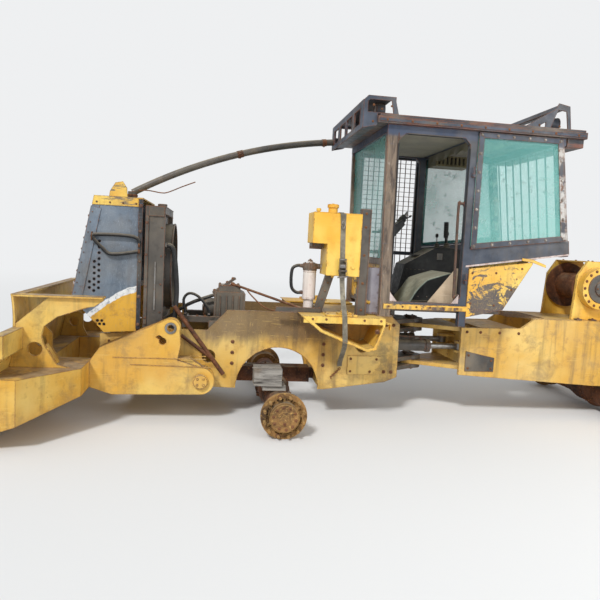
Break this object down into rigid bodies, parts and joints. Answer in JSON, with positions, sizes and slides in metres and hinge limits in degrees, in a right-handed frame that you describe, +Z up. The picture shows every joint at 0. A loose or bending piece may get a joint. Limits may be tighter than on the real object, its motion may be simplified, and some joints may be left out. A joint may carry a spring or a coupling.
{
  "type": "articulated log skidder, stripped and standing on its hubs",
  "caption": "Stripped articulated forestry skidder on its wheel hubs: guarded nose, dozer blade, caged cab, hinged rear frame with winch drum, arch and fairlead.",
  "frame": {"origin": "middle of the machine's bounding box, on the ground under it", "axes": "+X forward to the blade, +Y to the machine's left, +Z up"},
  "size_m": [6.98, 2.9, 3.04],
  "materials": {
    "frame_yellow": "sun-bleached yellow machine paint with rust, grime and scratches",
    "yellow_paint": "yellow machine paint, chalky, scuffed, rust at the edges",
    "blade_yellow": "yellow paint worn and rusty on the blade",
    "nose_black": "faded blue-black paint on the nose panels",
    "cab_black": "weathered dark blue-grey paint, rust and peeling at the edges",
    "dark_steel": "dark oily steel with dust and rust",
    "rusty_steel": "rusted bare steel",
    "hub_iron": "rusty yellow-brown cast hub",
    "rod_steel": "dull cylinder rod",
    "rubber": "aged black hose",
    "pane_green": "scratched and clouded green polycarbonate",
    "headliner": "olive-brown headliner",
    "cab_trim": "worn black trim",
    "mat": "dusty grey-green floor mat",
    "timber": "grey weathered timber",
    "filter_white": "faded white and pinkish filter can",
    "tank_yellow": "yellow paint, better kept, with dust"
  },
  "bodies": {
    "chassis": {"front_frame": "frame_yellow", "hitch_ears": "dark_steel", "frame_pipes": "rusty_steel", "nose_sides": "nose_black", "nose_top": "yellow_paint", "front_grille": "nose_black", "radiator": "dark_steel", "limb_riser": "dark_steel", "drive_remains": "dark_steel", "hoses": "rubber", "fenders": "yellow_paint", "tank": "tank_yellow", "tank_post": "dark_steel", "filter": "filter_white", "cab_frame": "cab_black", "cab_panels": "yellow_paint", "cab_floor": "dark_steel", "roof": "cab_black", "light_guards": "cab_black", "rear_lights": "cab_black", "windshield": "pane_green", "side_panes": "pane_green", "rear_guard": "cab_black", "headliner": "headliner", "controls": "cab_trim", "floor_mat": "mat", "grab_handle": "dark_steel"},
    "door": {"door_right": "cab_black"},
    "front_axle": {"front_axle": "rusty_steel", "timber_blocks": "timber"},
    "hub_front_left": {"hub_fl": "hub_iron"},
    "hub_front_right": {"hub_fr": "hub_iron"},
    "hub_rear_left": {"hub_rl": "hub_iron"},
    "hub_rear_right": {"hub_rr": "hub_iron"},
    "blade": {"blade_arms": "blade_yellow", "moldboard": "blade_yellow", "blade_ribs": "blade_yellow"},
    "rear": {"rear_frame": "frame_yellow", "rear_axle": "rusty_steel", "butt_plate": "dark_steel", "winch_frame": "yellow_paint", "arch": "frame_yellow"},
    "drum": {"winch_drum": "rusty_steel"},
    "roller_left": {"roller_left": "dark_steel"},
    "roller_right": {"roller_right": "dark_steel"},
    "roller_low": {"roller_low": "dark_steel"},
    "barrel_left": {"steer_barrel_left": "dark_steel"},
    "barrel_right": {"steer_barrel_right": "dark_steel"},
    "rod_left": {"steer_rod_left": "rod_steel"},
    "rod_right": {"steer_rod_right": "rod_steel"}
  },
  "joints": [
    {"name": "steering_articulation", "type": "hinge", "parent": "chassis", "child": "rear", "pos_m": [-0.445, 0, 0.68], "axis": [0, 0, 1], "range_deg": [-45, 45]},
    {"name": "front_axle_rock", "type": "hinge", "parent": "chassis", "child": "front_axle", "pos_m": [0.955, 0, 0.33], "axis": [1, 0, 0], "range_deg": [-8, 8]},
    {"name": "hub_front_left_spin", "type": "hinge", "parent": "front_axle", "child": "hub_front_left", "pos_m": [0.955, 1.1, 0.195], "axis": [0, 1, 0], "continuous": true},
    {"name": "hub_front_right_spin", "type": "hinge", "parent": "front_axle", "child": "hub_front_right", "pos_m": [0.955, -1.1, 0.195], "axis": [0, 1, 0], "continuous": true},
    {"name": "hub_rear_left_spin", "type": "hinge", "parent": "rear", "child": "hub_rear_left", "pos_m": [-2.645, 1.1, 0.195], "axis": [0, 1, 0], "continuous": true},
    {"name": "hub_rear_right_spin", "type": "hinge", "parent": "rear", "child": "hub_rear_right", "pos_m": [-2.645, -1.1, 0.195], "axis": [0, 1, 0], "continuous": true},
    {"name": "blade_lift", "type": "hinge", "parent": "chassis", "child": "blade", "pos_m": [1.655, 0, 0.38], "axis": [0, -1, 0], "range_deg": [0, 20]},
    {"name": "door_swing", "type": "hinge", "parent": "chassis", "child": "door", "pos_m": [-0.7, -0.725, 1.2], "axis": [0, 0, -1], "range_deg": [0, 90]},
    {"name": "drum_spin", "type": "hinge", "parent": "rear", "child": "drum", "pos_m": [-2.295, 0, 1.33], "axis": [0, 1, 0], "continuous": true},
    {"name": "roller_left_spin", "type": "hinge", "parent": "rear", "child": "roller_left", "pos_m": [-3.205, 0.2, 1.9], "axis": [0, 0, 1], "continuous": true},
    {"name": "roller_right_spin", "type": "hinge", "parent": "rear", "child": "roller_right", "pos_m": [-3.205, -0.2, 1.9], "axis": [0, 0, 1], "continuous": true},
    {"name": "roller_low_spin", "type": "hinge", "parent": "rear", "child": "roller_low", "pos_m": [-3.055, 0, 1.78], "axis": [0, 1, 0], "continuous": true},
    {"name": "barrel_left_swing", "type": "hinge", "parent": "chassis", "child": "barrel_left", "pos_m": [-0.095, 0.24, 0.68], "axis": [0, 0, 1], "range_deg": [-26, 26]},
    {"name": "barrel_right_swing", "type": "hinge", "parent": "chassis", "child": "barrel_right", "pos_m": [-0.095, -0.24, 0.68], "axis": [0, 0, 1], "range_deg": [-26, 26]},
    {"name": "rod_left_slide", "type": "slide", "parent": "barrel_left", "child": "rod_left", "axis": [-1, 0, 0], "range_m": [-0.184, 0.184]},
    {"name": "rod_right_slide", "type": "slide", "parent": "barrel_right", "child": "rod_right", "axis": [-1, 0, 0], "range_m": [-0.184, 0.184]}
  ],
  "couplings": [
    {"joint": "barrel_left_swing", "follows": "steering_articulation", "ratio": 0.57},
    {"joint": "barrel_right_swing", "follows": "steering_articulation", "ratio": 0.57},
    {"joint": "rod_left_slide", "follows": "steering_articulation", "m_per_rad": 0.2335},
    {"joint": "rod_right_slide", "follows": "steering_articulation", "m_per_rad": -0.2335}
  ]
}
